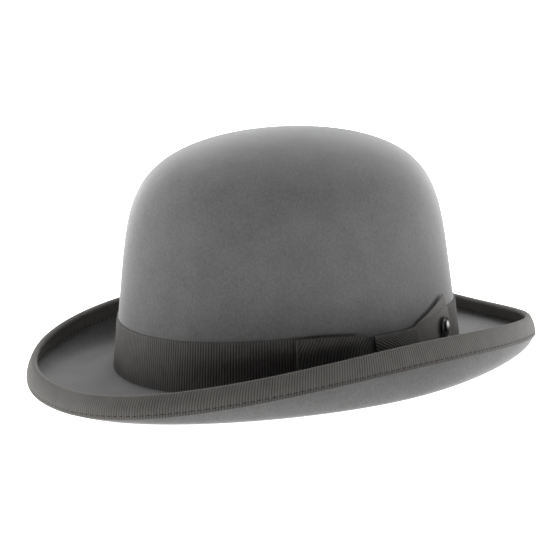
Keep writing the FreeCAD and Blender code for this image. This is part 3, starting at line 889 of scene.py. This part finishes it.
def back_bow():
    def loops(u, v):
        angle = 90.0 + 11.0 * (u - 0.5)
        pinch = 1 - 0.45 * np.exp(-((u - 0.5) / 0.16) ** 2)
        puff = 0.35 * np.sin(math.pi * np.clip(np.abs(u - 0.5) * 2, 0, 1))
        return on_band(np.radians(angle), 12.0 + 7.0 * pinch * (v - 0.5), leather_inner - 0.75 - puff)

    def wrap(u, v):
        angle = 90.0 + 2.4 * (u - 0.5)
        a = math.pi * (0.03 + 0.94 * v)
        return on_band(np.radians(angle), 12.0 - 3.0 * np.cos(a), leather_inner - 0.65 - 1.1 * np.sin(a))

    across = np.linspace(0, 1, 13)
    uv = lambda u, v: np.stack([u * 19.0, v * 7.0], -1)
    piece = ribbon("sweatband_bow_ribbon", loops, np.linspace(0, 1, 153), across, 0.35,
                   lambda u, v: u * 19.0, uv, depth=0.1)
    finish_piece(piece, "hat", "tape", tape, "sweatband_bow_loops")
    piece = ribbon("sweatband_bow_wrap", wrap, np.linspace(0, 1, 25), np.linspace(0, 1, 65), 0.35,
                   lambda u, v: v * 8.0, uv, depth=0.1)
    finish_piece(piece, "hat", "tape", tape, "sweatband_bow_knot")


def ticket():
    def middle(u, v):
        curl = 0.12 * np.sin(math.pi * u)
        return wall(np.radians(96.0 + 12.0 * u), 30.0 + 16.0 * v, -3.55 - curl)

    flat = lambda u, v: 0.5 + 0 * u
    uv = lambda u, v: np.stack([u, v], -1)
    piece = ribbon("size_ticket_paper", middle, np.linspace(0, 1, 25), np.linspace(0, 1, 9), 0.2,
                   flat, uv, depth=0.0)
    finish_piece(piece, "hat", "ticket", paper_material(), "size_ticket")


def lining():
    turn = np.arange(960)[:, None] / 960 * FULL_TURN
    gathers = 46
    fullness = 0.20 * np.cos(gathers * turn + 1.2 * noise_line(turn / FULL_TURN, 11))
    v = np.linspace(0, 1, 26)[None, :]
    height = lining_bottom + (lining_seam - 0.8 - lining_bottom) * v
    ripple = fullness * (0.25 + 0.75 * v ** 2) - 0.2
    inner = under_dome(turn, height, lining_inner - 0.05 + ripple)
    outer = under_dome(turn, height[:, ::-1], lining_inner + 0.20 + ripple[:, ::-1])
    side = ring_piece("lining_side_satin", np.concatenate([inner, outer], axis=1), sharp=75)
    finish_piece(side, "hat", "satin", satin, "lining_side")

    low = (lining_seam + 1.0) / (crown_height + lining_inner)
    fractions = np.concatenate([np.linspace(low, 0.80, 5)[:-1], dome_fractions(0.80, 0.99995, 26)])
    gather = 0.28 * np.cos(64 * turn + 1.5 * noise_line(turn / FULL_TURN, 13))
    gather = gather * np.exp(-(fractions - low) * 9)[None]
    inner = dome(turn, fractions[None], lining_inner - 0.1 + gather - 0.28)
    outer = dome(turn, fractions[None, ::-1], lining_inner + 0.15 + gather[:, ::-1] - 0.28)
    tip = open_dome("lining_tip_satin", inner, outer)
    finish_piece(tip, "hat", "satin", satin, "lining_tip")

    around = np.arange(12)[None, :] / 12 * FULL_TURN
    twist = 0.09 * np.cos(3 * around + 260 * turn)
    radius = 0.66 + twist
    points = under_dome(turn, lining_seam + radius * np.sin(around), -3.95 + radius * np.cos(around))
    cord = ring_piece("lining_piping_cord", points, sharp=180)
    finish_piece(cord, "hat", "satin", satin, "lining_piping")

    reach = 27.0
    r = np.concatenate([[0.3], np.linspace(3, reach, 16)])[None, :]
    column = np.arange(120)[:, None] / 120 * FULL_TURN
    face = disc_under_dome(column, r, lining_inner - 0.75)
    rear = disc_under_dome(column, r[:, ::-1], lining_inner - 0.55)
    window = cup_piece("lining_window_film", np.concatenate([face, rear], axis=1), sharp=60)
    finish_piece(window, "hat", "clear_sheet", clear_material(), "lining_window")


def disc_under_dome(turn, r, offset):
    """Points of the crown surface at an offset, over circles of radius r."""
    x, y = r * np.cos(turn), r * np.sin(turn)
    fractions = np.linspace(0.8, 1.0, 4001)
    scale = crown_scale(fractions)
    wanted = np.hypot(x / (crown_width + offset), y / (crown_length + offset))
    f = np.interp(wanted, scale[::-1], fractions[::-1])
    return np.stack([x, y, (crown_height + offset) * f + break_level], -1)


def open_dome(name, inner, outer):
    """Thick dome: inner runs from the seam to the top, outer back down to the seam."""
    points = np.concatenate([inner, outer], axis=1)
    rows, columns = points.shape[:2]
    half = inner.shape[1]
    faces = grid_faces(rows, columns, True, True)
    top = half - 1
    faces = faces[faces[:, 0] % columns != top]
    flat = points.reshape(-1, 3)
    poles = np.stack([inner[:, -1].mean(0), outer[:, 0].mean(0)])
    i = np.arange(rows)
    after = (i + 1) % rows
    under = np.stack([np.full(rows, len(flat)), i * columns + top, after * columns + top], -1)
    over = np.stack([np.full(rows, len(flat) + 1), after * columns + half, i * columns + half], -1)
    return make_object(name, np.concatenate([flat, poles]), [faces, under, over], sharp=75)


# ---------------------------------------------------------------- carried-over CAD nodes
def repaint(node, material):
    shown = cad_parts[node]
    if not shown.material_slots:
        shown.data.materials.append(material)
    for place in shown.material_slots:
        place.material = material


# ---------------------------------------------------------------- studio
def area_light(name, place, target, size, power):
    data = bpy.data.lights.new(name, "AREA")
    data.shape = "RECTANGLE"
    data.size, data.size_y = size
    data.energy = power
    lamp = bpy.data.objects.new(name, data)
    lamp.location = place
    aim = np.array(target) - np.array(place)
    lamp.rotation_mode = "QUATERNION"
    lamp.rotation_quaternion = Vector(aim).to_track_quat("-Z", "Y")
    bpy.context.collection.objects.link(lamp)


def studio():
    floor_size = 60.0
    corners = np.array([[-1, -1, 0], [1, -1, 0], [1, 1, 0], [-1, 1, 0]]) * floor_size / 2
    mesh = bpy.data.meshes.new("studio_floor")
    mesh.from_pydata([tuple(c) for c in corners], [], [(0, 1, 2, 3)])
    floor = bpy.data.objects.new("studio_floor", mesh)
    floor.location.z = cad_box[0][2]
    bpy.context.collection.objects.link(floor)
    p = Paint("studio floor", Roughness=0.9, Specular_IOR_Level=0.2)
    p.shader.inputs["Base Color"].default_value = (0.9, 0.9, 0.895, 1)
    p.shader.inputs["Emission Color"].default_value = (1, 1, 0.99, 1)
    p.shader.inputs["Emission Strength"].default_value = 1.15
    mesh.materials.append(p.material)

    world = bpy.data.worlds.new("studio")
    world.use_nodes = True
    world.node_tree.nodes["Background"].inputs["Color"].default_value = (1, 1, 1, 1)
    world.node_tree.nodes["Background"].inputs["Strength"].default_value = 0.02
    bpy.context.scene.world = world
    area_light("overhead", (-0.25, 0.2, 1.3), (0, 0, 0.05), (1.1, 1.1), 18)
    area_light("back panel", (-1.2, 0.9, 0.75), (0, 0, 0.10), (1.8, 0.8), 16)
    area_light("left panel", (-0.95, -0.95, 0.20), (0, 0, 0.10), (0.9, 0.35), 9)
    area_light("right panel", (0.35, 1.25, 0.20), (0, 0, 0.10), (0.9, 0.35), 6)
    bpy.context.scene.view_settings.view_transform = "Standard"


def camera():
    azimuth, elevation, roll = (math.radians(a) for a in (53.05, 11.63, -1.41))
    distance = 1.0
    target = np.array([0.0, 0.0, 0.0567])
    back = np.array([math.sin(azimuth) * math.cos(elevation), -math.cos(azimuth) * math.cos(elevation),
                     math.sin(elevation)])
    right = np.array([math.cos(azimuth), math.sin(azimuth), 0.0])
    up = np.cross(back, right)
    turned_right = right * math.cos(roll) + up * math.sin(roll)
    turned_up = up * math.cos(roll) - right * math.sin(roll)
    data = bpy.data.cameras.new("camera")
    data.sensor_width = 36.0
    data.lens = 113.1
    data.shift_x = -0.0125
    data.shift_y = -0.0252
    made = bpy.data.objects.new("camera", data)
    made.matrix_world = Matrix.Translation(target + back * distance) @ Matrix(
        np.stack([turned_right, turned_up, back], -1).tolist()).to_4x4()
    bpy.context.collection.objects.link(made)
    bpy.context.scene.camera = made


felt_hood()
binding()
binding_stitches("binding_stitches_outer", "binding_needle_thread", -0.35, 1)
binding_stitches("binding_stitches_inner", "binding_bobbin_thread", 3.45, -1)
band()
tail()
loop()
knot()
pin()
sweatband()
sweatband_trim()
back_bow()
ticket()
lining()
repaint("pin_post", pin_metal)
repaint("pin_keeper", keeper_metal)
repaint("sweatband_reed", reed_material())
studio()
camera()
